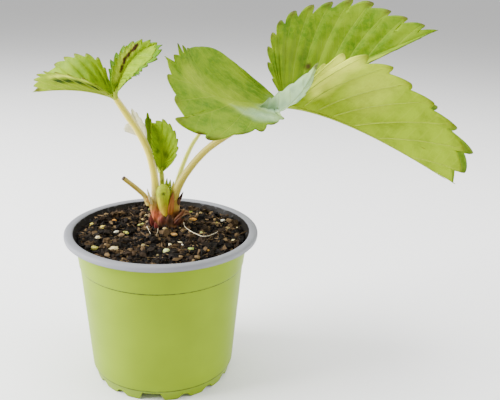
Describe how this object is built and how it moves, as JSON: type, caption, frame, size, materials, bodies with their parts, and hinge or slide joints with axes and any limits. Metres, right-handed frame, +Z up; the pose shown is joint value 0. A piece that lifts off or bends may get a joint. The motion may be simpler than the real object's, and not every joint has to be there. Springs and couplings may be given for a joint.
{
  "type": "potted strawberry plant",
  "caption": "Young strawberry plant with long-stalked trifoliate leaves, growing from a crown in soil in a thin round nursery pot with a rolled rim and a footed base.",
  "frame": {"origin": "centre of the flat underside of the pot's floor, on the ground", "axes": "+Z up along the pot's axis, +X towards the side over which the largest leaf hangs, +Y towards the back of the pot"},
  "size_m": [0.2286, 0.1279, 0.206],
  "materials": {
    "pot_plastic": "satin, yellow-green outside and grey inside",
    "potting_soil": "matt, crumbly",
    "crown_tissue": "satin, pinkish brown",
    "young_stem": "satin, pale yellow-green, finely hairy",
    "old_stem": "satin, olive to yellow-brown, finely hairy",
    "dry_tissue": "matt, dry brown",
    "young_leaf": "satin, light yellow-green, veined",
    "old_leaf": "satin, mid green, veined",
    "leaf_underside": "matt, pale yellow-green, veined"
  },
  "bodies": {
    "root": {"pot": "pot_plastic", "soil": "potting_soil", "crown": "crown_tissue", "crown_bud": "young_stem", "petiole_a": "young_stem", "petiole_b": "old_stem", "petiole_c": "young_stem", "petiole_d": "young_stem", "petiole_bract": "young_stem", "cut_petiole": "old_stem", "dry_stipule": "dry_tissue", "leaf_a_left": "young_leaf", "leaf_a_middle": "young_leaf", "leaf_a_rear": "old_leaf", "leaf_b_top": "old_leaf", "leaf_b_near": "old_leaf", "leaf_b_right": "leaf_underside", "leaf_c_left": "young_leaf", "leaf_c_middle": "young_leaf", "leaf_c_right": "young_leaf", "leaf_d_front": "young_leaf", "leaf_d_rear": "young_leaf"}
  },
  "joints": []
}
